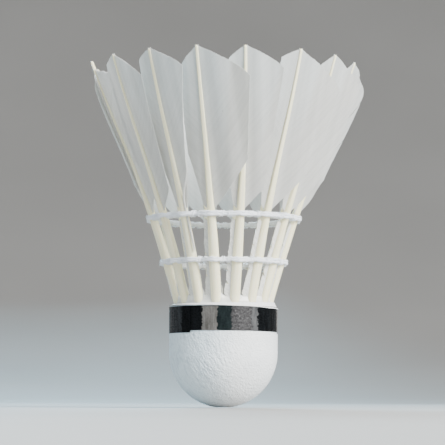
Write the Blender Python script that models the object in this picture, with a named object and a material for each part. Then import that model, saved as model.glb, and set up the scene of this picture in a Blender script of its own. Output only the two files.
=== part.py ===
"""Feather shuttlecock for badminton, nose down.

A three-layer cork base in a leather cover carries sixteen cut feathers. Their quills stand in slanting
sockets in the top layer, two stitched threads tie them into a cone, and a lapped tape closes the top of the
leather. The origin is the middle of the nose's small flat, and +Z runs up the axis. Feather 01 is the first
one counterclockwise of -Y, seen from above.
"""

import math

import bmesh
import bpy
from mathutils import Vector

MM = 0.001

# Base
BASE_RADIUS = 13.0 * MM
NOSE_FLAT_RADIUS = 2.0 * MM
NOSE_ANGLE = math.asin(NOSE_FLAT_RADIUS / BASE_RADIUS)
BASE_TOP = 24.0 * MM
LEATHER = 0.5 * MM
TAPE_RECESS = 0.25 * MM
TAPE_FOOT = 17.45 * MM
TAPE_HEIGHT = 6.3 * MM
TAPE_THICKNESS = 0.10 * MM
TAPE_GAP = 0.05 * MM
TAPE_LAP_DEGREES = 26.0
TAPE_START_AZIMUTH = -63.0
TAPE_SKEW = 0.55 * MM
NOSE_LAYER_TOP = 9.0 * MM
CORE_LAYER_TOP = 15.4 * MM
LAYER_GAP = 0.08 * MM
GLUE_HEIGHT = 1.5 * MM
COLLAR_RIM = 0.12 * MM
COLLAR_LIP = 0.15 * MM
COLLAR_HEIGHT = 1.3 * MM

# Feather circle: the shaft's centre line leaves the axis as a parabola of the height over the base's top,
# and straightens again over its last part. Each feather leans a little round the axis on its way up.
FEATHERS = 16
PITCH = 2 * math.pi / FEATHERS
CIRCLE_RADIUS = 10.8 * MM
FLARE = 0.27
FLARE_GROWTH = 1.8
EASE_HEIGHT = 64.0 * MM
EASE_GROWTH = 4.1
LEAN = math.radians(2.5)
SOCKET_FOOT = 16.0 * MM
TIP_HEIGHT = 82.5 * MM
SOCKET_GAP = 0.05 * MM

# Shaft: half widths along the circle and along the radius, at named heights
SHAFT_HEIGHTS = [16.0 * MM, 24.0 * MM, 34.5 * MM, 45.0 * MM, 58.0 * MM, 82.5 * MM]
SHAFT_HALF_WIDTHS = [0.80 * MM, 1.20 * MM, 1.22 * MM, 0.95 * MM, 0.68 * MM, 0.40 * MM]
SHAFT_HALF_DEPTHS = [0.75 * MM, 1.00 * MM, 1.02 * MM, 0.88 * MM, 0.68 * MM, 0.38 * MM]
STUB_WIDTH = 1.3 * MM
STUB_FOOT = 26.6 * MM
STUB_TOP = 43.6 * MM
STUB_EDGE = 0.12 * MM

# Webs: their slope across the feather carries each wide web over its neighbour's narrow one
WEB_THICKNESS = 0.3 * MM
WEB_GAP = 0.06 * MM
WEB_CAMBER_RADIUS = 70.0 * MM
WEB_FOOT = 46.2 * MM
WEB_FOOT_SLOPE = 1.21
WIDE_TOP_SLOPE = 0.50
WIDE_TOP_ROUNDING = 0.10
NARROW_WEB_WIDTH = 4.2 * MM
NARROW_WEB_DROP = 4.0 * MM
NARROW_WEB_FULL_HEIGHT = 57.0 * MM
WIDEST_WEB = 12.8 * MM
WIDEST_WAIST = 0.84
WAIST_LOSS = 70.0

# One value for each feather: the wide web's greatest width in millimetres, and its rise outward across the
# feather
WIDE_WEB_WIDTHS = [9.0, 12.2, 11.6, 11.4, 12.0, 11.2, 12.4, 11.0,
                   11.8, 12.2, 10.8, 12.0, 9.6, 10.8, 9.0, 12.8]
WEB_SLOPES = [0.20, 0.22, 0.28, 0.34, 0.30, 0.24, 0.20, 0.22,
              0.20, 0.18, 0.18, 0.16, 0.18, 0.18, 0.18, 0.20]

# Threads
THREAD_RADIUS = 0.45 * MM
THREAD_GAP = 0.04 * MM
THREAD_HEIGHTS = {"lower": 34.5 * MM, "upper": 45.0 * MM}
THREAD_POINTS_PER_FEATHER = 3

TURNED_STEPS = 36
WEB_ROWS = 7


def clear_scene():
    """Remove whatever the opened file holds."""
    for old in list(bpy.data.objects):
        bpy.data.objects.remove(old, do_unlink=True)


def material(name, colour, roughness, metallic=0.0):
    """A Principled material."""
    made = bpy.data.materials.new(name)
    made.use_nodes = True
    shader = made.node_tree.nodes["Principled BSDF"]
    shader.inputs["Base Color"].default_value = (*colour, 1.0)
    shader.inputs["Roughness"].default_value = roughness
    shader.inputs["Metallic"].default_value = metallic
    made.diffuse_color = (*colour, 1.0)
    return made


def add_object(name, data, look):
    """Link a mesh or curve as a named object with its material."""
    data.materials.append(look)
    made = bpy.data.objects.new(name, data)
    bpy.context.scene.collection.objects.link(made)
    return made


def mesh_object(name, shape, look, sharp_degrees=40.0):
    """Turn a bmesh into a smooth-shaded object that keeps its sharp edges."""
    bmesh.ops.recalc_face_normals(shape, faces=shape.faces)
    mesh = bpy.data.meshes.new(name)
    shape.to_mesh(mesh)
    shape.free()
    made = add_object(name, mesh, look)
    mesh.shade_smooth()
    mesh.set_sharp_from_angle(angle=math.radians(sharp_degrees))
    return made


def interpolate(heights, values, z):
    """Straight-line interpolation in a list of rising heights, constant past both ends."""
    if z <= heights[0]:
        return values[0]
    for low in range(len(heights) - 1):
        if z <= heights[low + 1]:
            share = (z - heights[low]) / (heights[low + 1] - heights[low])
            return values[low] + share * (values[low + 1] - values[low])
    return values[-1]


# Turned pieces

def turned(name, outline, look):
    """Turn an outline of (radius, height) points, top to bottom on its outer side, about the axis."""
    shape = bmesh.new()
    points = [shape.verts.new((radius, 0.0, height)) for radius, height in outline]
    closed = outline[0][0] > 0.0
    for first, second in zip(points, points[1:]):
        shape.edges.new((first, second))
    if closed:
        shape.edges.new((points[-1], points[0]))
    mesh = bpy.data.meshes.new(name)
    shape.to_mesh(mesh)
    shape.free()
    made = add_object(name, mesh, look)
    screw = made.modifiers.new("turn", "SCREW")
    screw.steps = TURNED_STEPS
    screw.render_steps = TURNED_STEPS
    screw.use_merge_vertices = True
    screw.merge_threshold = 0.01 * MM
    return made


def dome_angle(inset, z):
    """Angle off the nose's axis where the base's surface, a set depth in, reaches a height."""
    reach = (BASE_RADIUS - z) * math.cos(NOSE_ANGLE) / (BASE_RADIUS - inset)
    return math.acos(min(1.0, max(0.0, reach)))


def base_side(inset, top, foot, steps):
    """The base's straight side and dome, a set depth in, from one height down to another."""
    radius = BASE_RADIUS - inset
    start = dome_angle(inset, top)
    end = dome_angle(inset, foot)
    points = [(radius, top)] if top > BASE_RADIUS else []
    for step in range(steps + 1):
        angle = start + (end - start) * step / steps
        drop = radius * math.cos(angle) / math.cos(NOSE_ANGLE)
        points.append((radius * math.sin(angle), BASE_RADIUS - drop))
    return points


def add_cork(look_nose, look_core, look_seat):
    """The three glued layers of the base."""
    inset = LEATHER + LAYER_GAP
    nose = base_side(inset, NOSE_LAYER_TOP, inset, 5)
    turned("cork_nose", [(0.0, NOSE_LAYER_TOP)] + nose + [(0.0, inset)], look_nose)
    foot = NOSE_LAYER_TOP + LAYER_GAP
    core = base_side(inset, CORE_LAYER_TOP, foot, 3)
    turned("cork_core", [(0.0, CORE_LAYER_TOP)] + core + [(0.0, foot)], look_core)
    foot = CORE_LAYER_TOP + LAYER_GAP
    radius = BASE_RADIUS - inset - TAPE_RECESS
    outline = [(0.0, BASE_TOP), (radius, BASE_TOP), (radius, foot), (0.0, foot)]
    return turned("cork_seat", outline, look_seat)


def add_leather(look):
    """The skin over the whole base, thinner where the tape runs."""
    inner_radius = BASE_RADIUS - TAPE_RECESS - LEATHER
    neck = TAPE_FOOT - LEATHER
    inside = base_side(LEATHER, neck, LEATHER, 8)
    outside = base_side(0.0, TAPE_FOOT, 0.0, 10)
    rim = [(inner_radius, neck), (inner_radius, BASE_TOP), (inner_radius + LEATHER, BASE_TOP)]
    step = [(inner_radius + LEATHER, TAPE_FOOT)]
    turned("leather_cover", [(0.0, LEATHER)] + inside[::-1] + rim + step + outside + [(0.0, 0.0)], look)


def add_tape(look):
    """The tape, a strip that winds a little over one turn and climbs slightly, so that its end laps."""
    shape = bmesh.new()
    turn = 2 * math.pi
    sweep = turn + math.radians(TAPE_LAP_DEGREES)
    steps = 60
    climb_per_turn = TAPE_THICKNESS + TAPE_GAP
    previous = None
    for step in range(steps + 1):
        along = sweep * step / steps
        azimuth = math.radians(TAPE_START_AZIMUTH) + along
        inner = BASE_RADIUS - TAPE_RECESS + TAPE_GAP + climb_per_turn * along / turn
        foot = TAPE_FOOT + TAPE_GAP + TAPE_SKEW * (1 - along / sweep)
        corners = [
            (inner, foot),
            (inner + TAPE_THICKNESS, foot),
            (inner + TAPE_THICKNESS, foot + TAPE_HEIGHT - TAPE_SKEW),
            (inner, foot + TAPE_HEIGHT - TAPE_SKEW),
        ]
        ring = [shape.verts.new(on_circle(radius, azimuth, z)) for radius, z in corners]
        if previous:
            join_rings(shape, previous, ring)
        else:
            shape.faces.new(ring)
        previous = ring
    shape.faces.new(previous[::-1])
    mesh_object("foil_band", shape, look)


def add_collar(look):
    """The ribbon's free edge, a thin cone round the feet of the quills."""
    seat = BASE_TOP + TAPE_GAP
    inner = BASE_RADIUS - 0.75 * MM
    neck = BASE_RADIUS - TAPE_RECESS + TAPE_GAP
    outline = [
        (inner, seat + COLLAR_HEIGHT),
        (inner + 0.3 * MM, seat + COLLAR_HEIGHT),
        (BASE_RADIUS + COLLAR_RIM, seat + COLLAR_LIP),
        (BASE_RADIUS + COLLAR_RIM, BASE_TOP - COLLAR_LIP),
        (neck, BASE_TOP - COLLAR_LIP),
        (neck, seat),
        (inner, seat),
    ]
    turned("collar_ribbon", outline, look)


# Feathers

def on_circle(radius, azimuth, z):
    """A point at an azimuth that grows counterclockwise from -Y, seen from above."""
    return Vector((radius * math.sin(azimuth), -radius * math.cos(azimuth), z))


def feather_azimuth(index):
    """Azimuth of a feather's tip, half a pitch off -Y for the first."""
    return PITCH * (index + 0.5)


def leaning(azimuth, z):
    """Azimuth of a shaft at a height, for a feather whose tip is at the given azimuth."""
    return azimuth + LEAN * (TIP_HEIGHT - z) / (TIP_HEIGHT - BASE_TOP)


def shaft_radius(z):
    """Distance from the axis to the shaft's centre line."""
    over = z - BASE_TOP
    eased = max(0.0, z - EASE_HEIGHT)
    return CIRCLE_RADIUS + FLARE * over + FLARE_GROWTH * over ** 2 - EASE_GROWTH * eased ** 2


def shaft_frame(azimuth, z):
    """Centre of the shaft, the direction along the circle and the outward direction square to the shaft."""
    slope = FLARE + 2 * FLARE_GROWTH * (z - BASE_TOP) - 2 * EASE_GROWTH * max(0.0, z - EASE_HEIGHT)
    here = leaning(azimuth, z)
    along_circle = Vector((math.cos(here), math.sin(here), 0.0))
    outward = (on_circle(1.0, here, 0.0) - Vector((0.0, 0.0, slope))).normalized()
    return on_circle(shaft_radius(z), here, z), along_circle, outward


def join_rings(shape, lower, upper):
    """Bridge two rings of corners with quads."""
    count = len(lower)
    for corner in range(count):
        following = (corner + 1) % count
        shape.faces.new([lower[corner], lower[following], upper[following], upper[corner]])


def stub_width(z):
    """How far the trimmed barbs stand out of the bare quill."""
    heights = [STUB_FOOT, STUB_FOOT + 1.0 * MM, STUB_TOP - 0.6 * MM, STUB_TOP]
    return interpolate(heights, [0.0, STUB_WIDTH, STUB_WIDTH, 0.0], z)


def oval_point(half_width, half_depth, degrees):
    """A point of the shaft's oval outline, along the circle and outward."""
    angle = math.radians(degrees)
    return half_width * math.cos(angle), half_depth * math.sin(angle)


def shaft_section(azimuth, z, grow, with_stub):
    """Corners round the shaft at one height, with the stub as a fin on the narrow web's side."""
    centre, along_circle, outward = shaft_frame(azimuth, z)
    half_width = interpolate(SHAFT_HEIGHTS, SHAFT_HALF_WIDTHS, z) + grow
    half_depth = interpolate(SHAFT_HEIGHTS, SHAFT_HALF_DEPTHS, z) + grow
    fin = half_width + (stub_width(z) if with_stub else 0.0)
    corners = [oval_point(half_width, half_depth, degrees) for degrees in (0, 50, 90, 130)]
    corners += [(-fin, STUB_EDGE), (-fin, -STUB_EDGE)]
    corners += [oval_point(half_width, half_depth, degrees) for degrees in (230, 270, 310)]
    return [centre + across * along_circle + out * outward for across, out in corners]


def loft_shaft(shape, azimuth, heights, grow=0.0, with_stub=True):
    """Add one closed shaft to a bmesh, from its sections at the given heights."""
    previous = None
    for z in heights:
        ring = [shape.verts.new(point) for point in shaft_section(azimuth, z, grow, with_stub)]
        if previous:
            join_rings(shape, previous, ring)
        else:
            shape.faces.new(ring[::-1])
        previous = ring
    shape.faces.new(previous)


def add_shaft(name, azimuth, look):
    """One shaft, from its foot in the socket to its tip."""
    shape = bmesh.new()
    stub_heights = [STUB_FOOT, STUB_FOOT + 1.0 * MM, 34.5 * MM, STUB_TOP - 0.6 * MM, STUB_TOP]
    upper_heights = [51.0 * MM, 58.0 * MM, 66.0 * MM, 74.0 * MM, TIP_HEIGHT]
    loft_shaft(shape, azimuth, [SOCKET_FOOT, BASE_TOP] + stub_heights + upper_heights)
    mesh_object(name, shape, look, 60.0)


def web_point(azimuth, slope, across, z):
    """A point of the feather's curved blade, `across` metres counterclockwise of the shaft."""
    centre, along_circle, _ = shaft_frame(azimuth, z)
    lift = slope * across - across ** 2 / (2 * WEB_CAMBER_RADIUS)
    return centre + across * along_circle + lift * on_circle(1.0, leaning(azimuth, z), 0.0)


def web_root(z):
    """Distance from the shaft's centre line to a web's root."""
    return interpolate(SHAFT_HEIGHTS, SHAFT_HALF_WIDTHS, z) + WEB_GAP


def waist(width):
    """Width of a wide web at its lower corner: a narrower web tapers more."""
    return width * (WIDEST_WAIST - WAIST_LOSS * (WIDEST_WEB - width))


def wide_edge(z, width):
    """Distance from the shaft's centre line to the wide web's free edge."""
    corner = WEB_FOOT + WEB_FOOT_SLOPE * waist(width)
    full = TIP_HEIGHT - WIDE_TOP_SLOPE * width
    return interpolate([corner, full], [waist(width), width], z)


def narrow_edge(z):
    """Distance from the shaft's centre line to the narrow web's free edge."""
    heights = [WEB_FOOT, NARROW_WEB_FULL_HEIGHT]
    return interpolate(heights, [1.7 * MM, NARROW_WEB_WIDTH], z)


def wide_span(share, width):
    """Lowest and highest point of a wide web at a share of its width."""
    foot = WEB_FOOT + WEB_FOOT_SLOPE * waist(width) * share
    top = TIP_HEIGHT - 0.2 * MM - width * (WIDE_TOP_SLOPE * share + WIDE_TOP_ROUNDING * share ** 5)
    return foot, top


def narrow_span(share):
    """Lowest and highest point of the narrow web at a share of its width."""
    return WEB_FOOT + 0.6 * MM * share, TIP_HEIGHT - 0.2 * MM - NARROW_WEB_DROP * share


def add_web(name, azimuth, slope, side, edge, span, columns, look):
    """One web: a grid bent into the blade's shape between its root, free edge, foot and cut top."""
    shape = bmesh.new()
    bmesh.ops.create_grid(shape, x_segments=columns, y_segments=WEB_ROWS, size=0.5)
    for vertex in shape.verts:
        share = vertex.co.x + 0.5
        foot, top = span(share)
        z = foot + (top - foot) * (vertex.co.y + 0.5)
        across = web_root(z) + share * (edge(z) - web_root(z))
        vertex.co = web_point(azimuth, slope, side * across, z)
    web = mesh_object(name, shape, look)
    solidify = web.modifiers.new("thickness", "SOLIDIFY")
    solidify.thickness = WEB_THICKNESS
    solidify.offset = 0.0


def add_feather(index, look_shaft, look_web):
    """One feather: its shaft and the two webs beside it."""
    name = f"feather_{index + 1:02d}"
    azimuth = feather_azimuth(index)
    width = WIDE_WEB_WIDTHS[index] * MM
    slope = WEB_SLOPES[index]

    def edge(z):
        return wide_edge(z, width)

    def span(share):
        return wide_span(share, width)

    add_shaft(f"{name}_shaft", azimuth, look_shaft)
    add_web(f"{name}_wide_web", azimuth, slope, 1, edge, span, 4, look_web)
    add_web(f"{name}_narrow_web", azimuth, slope, -1, narrow_edge, narrow_span, 2, look_web)


# Sockets and glue

def add_quill_cutter():
    """The sixteen quills, grown by the socket gap, as one cutter."""
    shape = bmesh.new()
    for index in range(FEATHERS):
        heights = [SOCKET_FOOT - SOCKET_GAP, BASE_TOP, STUB_FOOT + 0.6 * MM]
        loft_shaft(shape, feather_azimuth(index), heights, SOCKET_GAP, False)
    cutter = mesh_object("quill_cutter", shape, material("cutter", (0.8, 0.1, 0.1), 0.5))
    cutter.hide_render = True
    cutter.display_type = "WIRE"
    return cutter


def cut(target, cutter):
    """Cut a closed piece with an exact Boolean."""
    difference = target.modifiers.new("sockets", "BOOLEAN")
    difference.operation = "DIFFERENCE"
    difference.object = cutter
    difference.solver = "EXACT"


def add_glue(look):
    """The bead of glue round the feet of the quills."""
    foot = BASE_TOP + 0.02 * MM
    inner = CIRCLE_RADIUS - 1.9 * MM
    outer = BASE_RADIUS - 0.80 * MM
    outline = [
        (CIRCLE_RADIUS - 0.9 * MM, foot + GLUE_HEIGHT),
        (outer, foot + GLUE_HEIGHT),
        (outer, foot),
        (inner, foot),
        (inner, foot + 0.4 * MM),
    ]
    return turned("glue_ring", outline, look)


# Threads

def add_thread(name, z, side, look):
    """One strand of a stitched row: bowed round each quill and drawn in between two quills."""
    quill = interpolate(SHAFT_HEIGHTS, SHAFT_HALF_DEPTHS, z) + THREAD_RADIUS + 4 * THREAD_GAP
    pinched = THREAD_RADIUS + STUB_EDGE + 2 * THREAD_GAP
    curve = bpy.data.curves.new(name, "CURVE")
    curve.dimensions = "3D"
    curve.bevel_depth = THREAD_RADIUS
    curve.bevel_resolution = 1
    curve.twist_mode = "Z_UP"
    count = FEATHERS * THREAD_POINTS_PER_FEATHER
    strand = curve.splines.new("POLY")
    strand.points.add(count - 1)
    strand.use_cyclic_u = True
    for step in range(count):
        azimuth = leaning(feather_azimuth(0), z) + PITCH * step / THREAD_POINTS_PER_FEATHER
        wave = 0.5 + 0.5 * math.cos(2 * math.pi * step / THREAD_POINTS_PER_FEATHER)
        offset = pinched + (quill - pinched) * wave
        strand.points[step].co = (*on_circle(shaft_radius(z) + side * offset, azimuth, z), 1.0)
    add_object(name, curve, look)


def main():
    clear_scene()
    shaft_look = material("quill", (0.86, 0.83, 0.72), 0.35)
    web_look = material("feather_web", (0.83, 0.85, 0.86), 0.7)
    thread_look = material("thread", (0.84, 0.88, 0.93), 0.6)
    seat = add_cork(
        material("natural_cork", (0.62, 0.45, 0.28), 0.9),
        material("agglomerated_cork", (0.50, 0.34, 0.20), 0.9),
        material("seat_cork", (0.56, 0.40, 0.25), 0.9),
    )
    add_leather(material("white_leather", (0.80, 0.81, 0.80), 0.5))
    add_tape(material("black_foil", (0.02, 0.022, 0.024), 0.18))
    add_collar(material("ribbon", (0.84, 0.86, 0.87), 0.6))
    glue = add_glue(material("dried_glue", (0.78, 0.78, 0.72), 0.25))
    for index in range(FEATHERS):
        add_feather(index, shaft_look, web_look)
    for row, z in THREAD_HEIGHTS.items():
        add_thread(f"thread_{row}_outer", z, 1, thread_look)
        add_thread(f"thread_{row}_inner", z, -1, thread_look)
    cutter = add_quill_cutter()
    cut(seat, cutter)
    cut(glue, cutter)


main()
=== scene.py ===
import math
import random

import bmesh
import bpy
import numpy as np
from mathutils import Euler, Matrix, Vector, noise


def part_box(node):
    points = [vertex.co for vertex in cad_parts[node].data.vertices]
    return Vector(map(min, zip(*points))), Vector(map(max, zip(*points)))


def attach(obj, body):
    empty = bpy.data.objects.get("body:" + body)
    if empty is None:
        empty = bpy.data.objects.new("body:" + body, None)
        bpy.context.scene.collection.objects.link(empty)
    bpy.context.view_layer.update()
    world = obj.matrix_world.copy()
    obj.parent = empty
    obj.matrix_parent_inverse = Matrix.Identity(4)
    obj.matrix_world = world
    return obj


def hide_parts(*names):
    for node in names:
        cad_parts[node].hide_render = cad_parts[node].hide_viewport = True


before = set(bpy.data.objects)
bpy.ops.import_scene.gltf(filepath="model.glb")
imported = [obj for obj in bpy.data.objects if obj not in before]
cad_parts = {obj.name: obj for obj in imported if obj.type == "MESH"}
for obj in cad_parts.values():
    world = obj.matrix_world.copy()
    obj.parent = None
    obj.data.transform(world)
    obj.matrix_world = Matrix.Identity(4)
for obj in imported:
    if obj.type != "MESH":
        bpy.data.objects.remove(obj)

MM = 0.001
TURN = 2 * math.pi
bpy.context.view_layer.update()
FEATHERS = 16

# Places read from the frame; a CAD shaft's tilted end reaches a little over the end of its centre line
TIP_SLANT = 0.1 * MM
SHAFT_NODES = [f"feather_{number:02d}_shaft" for number in range(1, FEATHERS + 1)]
TIP_HEIGHT = max(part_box(node)[1][2] for node in SHAFT_NODES) - TIP_SLANT
BASE_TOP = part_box("cork_seat")[1][2]
BASE_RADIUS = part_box("leather_cover")[1][0]
THREAD_BOXES = {row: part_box(f"thread_{row}_outer") for row in ("lower", "upper")}
THREAD_ROWS = {row: sum(corner[2] for corner in box) / 2 for row, box in THREAD_BOXES.items()}

# The circle of feathers, as the CAD solids have it
PITCH = TURN / FEATHERS
CIRCLE_RADIUS = 10.8 * MM
FLARE = 0.27
FLARE_GROWTH = 1.8
EASE_HEIGHT = 64.0 * MM
EASE_GROWTH = 4.1
LEAN = math.radians(2.5)

# Shafts: half widths along the circle and outward, at named heights
SHAFT_HEIGHTS = np.array([16.0, 24.0, 34.5, 45.0, 58.0, 70.0, 82.5]) * MM
SHAFT_HALF_WIDTHS = np.array([0.80, 1.20, 1.25, 1.02, 0.66, 0.52, 0.38]) * MM
SHAFT_HALF_DEPTHS = np.array([0.75, 1.00, 1.02, 0.88, 0.68, 0.52, 0.36]) * MM
SHAFT_FOOT = 16.0 * MM
QUILL_TOP = 46.0 * MM
RACHIS_FOOT = 47.0 * MM
SHAFT_SIDES = 24
QUILL_RINGS = 34
RACHIS_RINGS = 42
TIP_RINGS = np.array([0.30, 0.18, 0.08, 0.02, 0.0]) * MM
TIP_INSET = 0.22 * MM

# Cut stubs of barbs on the quill
STUB_FOOT = 25.2 * MM
STUB_TOP = 43.8 * MM
STUB_WIDTH = 1.15 * MM
STUB_FADE_FOOT = STUB_FOOT - 2 * MM
STUB_FADE = (43.4 * MM, 45.0 * MM)
STUB_FLARE = (26.0 * MM, 33.0 * MM)
STUB_ROWS = 5
STUB_TEARS = 3
STUB_RAGGED = 0.13 * MM
STUB_THICKNESS = 2.0

# Webs and their barbs
WEB_FOOT = 46.2 * MM
WEB_FOOT_SLOPE = 1.21
WEB_CAMBER_RADIUS = 70.0 * MM
WEB_WAVE_WIDTH = 1.15 * MM
WEB_WAVE_LENGTH = 30.0 * MM
WEB_OVERLAP = 0.05 * MM
WEB_TOP_INSET = 0.05 * MM
WIDE_TOP_ROUNDING = 0.12
WIDEST_WEB = 12.8 * MM
WIDEST_WAIST = 0.84
WAIST_LOSS = 70.0
NARROW_EDGE_HEIGHTS = [WEB_FOOT, 52.0 * MM, 59.0 * MM, 66.0 * MM, 80.0 * MM]
BARB_PITCH = 0.44 * MM
BARB_COLUMNS = 4
BARB_RISE = 1.0
BARB_CURL = 20.0
BARB_THICKNESS = ([0.0, 0.12, 1.0], [0.32, 0.23, 0.11])
WIDE_ROWS = 14
NARROW_ROWS = 6
WEB_RAGGED = 0.08 * MM
TEAR_REACH = 14.0
TEAR_MARGINS = (6, 12)

# One value for each feather, counterclockwise from -Y. The webs' greatest widths and the drop of the
# narrow web's cut top are in millimetres.
WIDE_WEB_WIDTHS = [9.0, 12.2, 11.6, 11.4, 12.0, 11.2, 12.4, 11.0,
                   11.8, 12.2, 10.8, 12.0, 8.6, 9.3, 9.0, 12.3]
NARROW_WEB_WIDTHS = [3.8, 4.4, 4.0, 3.6, 3.8, 3.5, 4.1, 3.7,
                     3.5, 4.0, 3.6, 3.9, 3.4, 5.2, 4.3, 4.3]
NARROW_WEB_DROPS = [3.0, 2.2, 3.5, 3.4, 3.1, 3.6, 3.0, 3.3,
                    3.7, 2.9, 3.4, 3.2, 3.4, 1.9, 2.4, 4.2]
# The drop of the wide web's cut top for each millimetre outward
WIDE_TOP_SLOPES = [0.46, 0.60, 0.52, 0.50, 0.47, 0.52, 0.50, 0.54,
                   0.48, 0.50, 0.53, 0.49, 0.20, 0.56, 0.45, 0.49]
# The rise of both webs across the feather, for each millimetre counterclockwise
WEB_SLOPES = [0.20, 0.22, 0.28, 0.34, 0.30, 0.24, 0.20, 0.22,
              0.20, 0.18, 0.18, 0.06, -0.26, 0.06, 0.18, 0.20]
# How far the tip is bent along the circle and outward, in millimetres
TIP_BENDS = [-1.3, 0.4, 0.0, 0.3, 0.5, -0.4, 0.2, -0.6, 0.4, 0.0, -0.3, 0.5, -0.7, 0.1, 0.2, -0.2]
TIP_SPREADS = [0.0, 0.0, 0.0, 0.5, 0.3, 0.0, -0.2, 0.2, 0.0, 0.3, 0.0, 0.2, 0.9, 0.0, 0.0, 0.0]
# The number of tears in the wide web; the narrow one has half as many, rounded down
WIDE_TEARS = [0, 0, 0, 3, 3, 1, 0, 2, 1, 3, 1, 2, 3, 1, 0, 0]

# Two feathers with damage of their own, by their place in the lists above
WORN_FEATHER = 12
WORN_DROP = 1.9 * MM
WORN_RAGGED = 0.35 * MM
LOOSE_FEATHER = 14
LOOSE_STRIP_TOP = 57.0 * MM
LOOSE_EDGE_WIDTHS = (1.3 * MM, 3.7 * MM)

# Threads
YARN_RADIUS = 0.35 * MM
YARN_LIFT = 0.26 * MM
YARN_SIDES = 14
YARN_PINCH = 0.20 * MM
STRAND_STEPS_PER_FEATHER = 28
FUZZ_RADIUS = 0.040 * MM
FUZZ_PER_FEATHER = 12
FUZZ_STEPS = 12
FUZZ_SIDES = 4
WRAP_RADIUS = 0.19 * MM
WRAP_PLACES = (-0.40, -0.32, 0.32, 0.40)
WRAP_STEPS = 26
WRAP_SIDES = 8
WRAP_HALF_DEPTH = 0.92 * MM
WRAP_HALF_HEIGHT = 0.62 * MM
WRAP_LEAN = 0.22 * MM

# Leather cover
NOSE_FLAT_RADIUS = 2.0 * MM
LEATHER = 0.5 * MM
TAPE_RECESS = 0.25 * MM
SIDE_HEIGHT = 4.45 * MM
NECK_FOOT = 17.5 * MM
NECK_INNER_FOOT = 16.95 * MM
CREASE_TOP = 17.4 * MM
CREASE_INNER_RADIUS = 1.5 * MM
NOSE_RINGS = 4
DOME_RINGS = 110
SIDE_RINGS = 26
LINING_RINGS = 14
SKIN_COLUMNS = 420

# Tape: where it starts, how far it winds, and its patches of wear as (start degrees, end degrees, kind);
# the silver ones carry painted glints
TAPE_START = math.radians(-63.0)
TAPE_SWEEP = math.radians(386.0)
TAPE_FOOT = 17.5 * MM
TAPE_SKEW = 0.55 * MM
TAPE_TOP = 23.8 * MM
TAPE_THICKNESS = 0.10 * MM
TAPE_DEPTH = 0.19 * MM
TAPE_LAP_RISE = 0.15 * MM
TAPE_STEPS = 420
TAPE_ROWS = 18
TAPE_PATCHES = [
    (283.5, 311.2, "dull"),
    (-22.8, -6.3, "taupe"),
    (-6.3, 8.4, "petrol"),
    (8.4, 31.0, "silver_and_painted_glints"),
    (31.0, 38.6, "pale"),
    (78.0, 96.0, "taupe"),
    (120.0, 143.0, "silver_and_painted_glints"),
    (143.0, 149.0, "pale"),
    (190.0, 214.0, "dull"),
    (240.0, 262.0, "silver_and_painted_glints"),
]

# Ribbon edge, in millimetres, and the glue bead's section as (radius in millimetres, share of its height)
COLLAR_RADIUS = 12.30
COLLAR_TOP = 24.50
COLLAR_FLARE = 0.90
COLLAR_DROP = 0.65
COLLAR_THICKNESS = 0.14
COLLAR_STEPS = 320
GLUE_SECTION = [(8.9, 0.02), (9.1, 0.20), (9.5, 0.50), (9.9, 0.82), (10.2, 1.0), (10.6, 0.98),
                (10.9, 0.84), (11.2, 0.50), (11.6, 0.18), (12.2, 0.05), (12.2, 0.0), (10.5, 0.0)]
GLUE_STEPS_PER_FEATHER = 20

# Studio, in metres and watts: a soft key from the right, a cool fill from the left, a light above and a
# cool one behind, each as (name, place, size, watts, colour, spread in degrees)
FLOOR_DEPTH = 0.2 * MM
FLOOR_RADIUS = 0.55
SWEEP_RADIUS = 1.3
SWEEP_STEPS = 24
WALL_TOP = 1.9
STAGE_COLUMNS = 96
AIM_HEIGHT = 45 * MM
LIGHTS = (
    ("key", (0.64, -0.60, 0.45), 0.45, 27.0, (1.0, 0.99, 0.965), 180.0),
    ("fill", (-0.80, -0.45, 0.50), 1.0, 5.5, (0.80, 0.91, 1.0), 180.0),
    ("above", (0.15, -0.25, 0.95), 0.5, 7.0, (1.0, 1.0, 1.0), 180.0),
    ("behind", (-0.15, 0.95, 0.30), 0.4, 2.2, (0.48, 0.80, 1.0), 60.0),
)
WORLD_COLOUR = (0.87, 0.88, 0.89, 1.0)
WORLD_STRENGTH = 0.30
CAMERA_PLACE = (-0.285 * MM, -500.9 * MM, 2.0 * MM)
CAMERA_PITCH = 4.827
CAMERA_ROLL = 0.153
CAMERA_LENS = 168.83


# Meshes

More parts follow.
